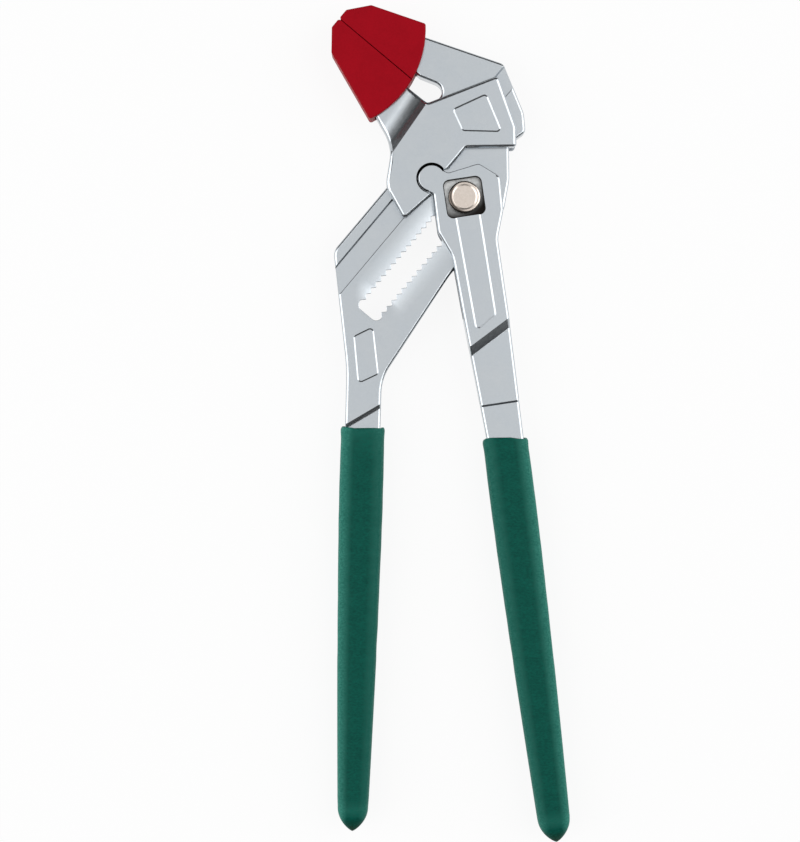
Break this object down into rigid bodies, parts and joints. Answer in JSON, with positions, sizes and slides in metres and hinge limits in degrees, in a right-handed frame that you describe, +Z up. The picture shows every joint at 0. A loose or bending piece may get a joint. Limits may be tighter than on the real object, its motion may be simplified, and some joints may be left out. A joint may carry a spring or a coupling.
{
  "type": "pliers wrench",
  "caption": "Adjustable pliers wrench with smooth parallel jaws, a push-button sliding pivot in a toothed slot, dipped grips and slip-on soft jaw covers.",
  "frame": {"origin": "on the pivot axis, in the plane of the rear faces on which the tool lies", "axes": "+Z up out of the front face, +Y towards the jaws, +X to the right seen from the front"},
  "size_m": [0.0716, 0.2513, 0.0155],
  "materials": {
    "satin_plated_steel": "satin nickel-chrome plated forging",
    "bright_nickel": "bright nickel plate",
    "spring_steel": "drawn spring steel",
    "dipped_vinyl": "satin dipped vinyl",
    "red_soft_plastic": "moulded soft plastic"
  },
  "bodies": {
    "fixed": {"fixed_handle": "satin_plated_steel", "left_grip": "dipped_vinyl"},
    "pivot": {"pivot_bolt": "bright_nickel", "retaining_ring": "spring_steel", "return_spring": "spring_steel"},
    "lever": {"lever_handle": "satin_plated_steel", "right_grip": "dipped_vinyl"},
    "jaw": {"sliding_jaw": "satin_plated_steel"},
    "button": {"lock_plunger": "bright_nickel", "push_button": "bright_nickel"},
    "upper_cover": {"upper_jaw_cover": "red_soft_plastic"},
    "lower_cover": {"lower_jaw_cover": "red_soft_plastic"}
  },
  "joints": [
    {"name": "size_adjust", "type": "slide", "parent": "fixed", "child": "pivot", "axis": [0.6428, 0.766, 0], "range_m": [-0.03744, 0]},
    {"name": "handle_pivot", "type": "hinge", "parent": "pivot", "child": "lever", "pos_m": [0, 0, 0.0072], "axis": [0, 0, 1], "range_deg": [0, 15]},
    {"name": "jaw_slide", "type": "slide", "parent": "pivot", "child": "jaw", "axis": [0.6428, 0.766, 0], "range_m": [-0.0029, 0]},
    {"name": "button_press", "type": "slide", "parent": "pivot", "child": "button", "axis": [0, 0, -1], "range_m": [0, 0.0016], "stiffness_N_per_m": 1200, "springref_m": -0.002, "deforming": ["return_spring"]},
    {"name": "upper_cover_off", "type": "slide", "parent": "fixed", "child": "upper_cover", "axis": [-0.766, 0.6428, 0], "range_m": [0, 0.026]},
    {"name": "lower_cover_off", "type": "slide", "parent": "jaw", "child": "lower_cover", "axis": [-0.766, 0.6428, 0], "range_m": [0, 0.026]}
  ],
  "couplings": [
    {"joint": "jaw_slide", "follows": "handle_pivot", "m_per_rad": -0.01078}
  ]
}
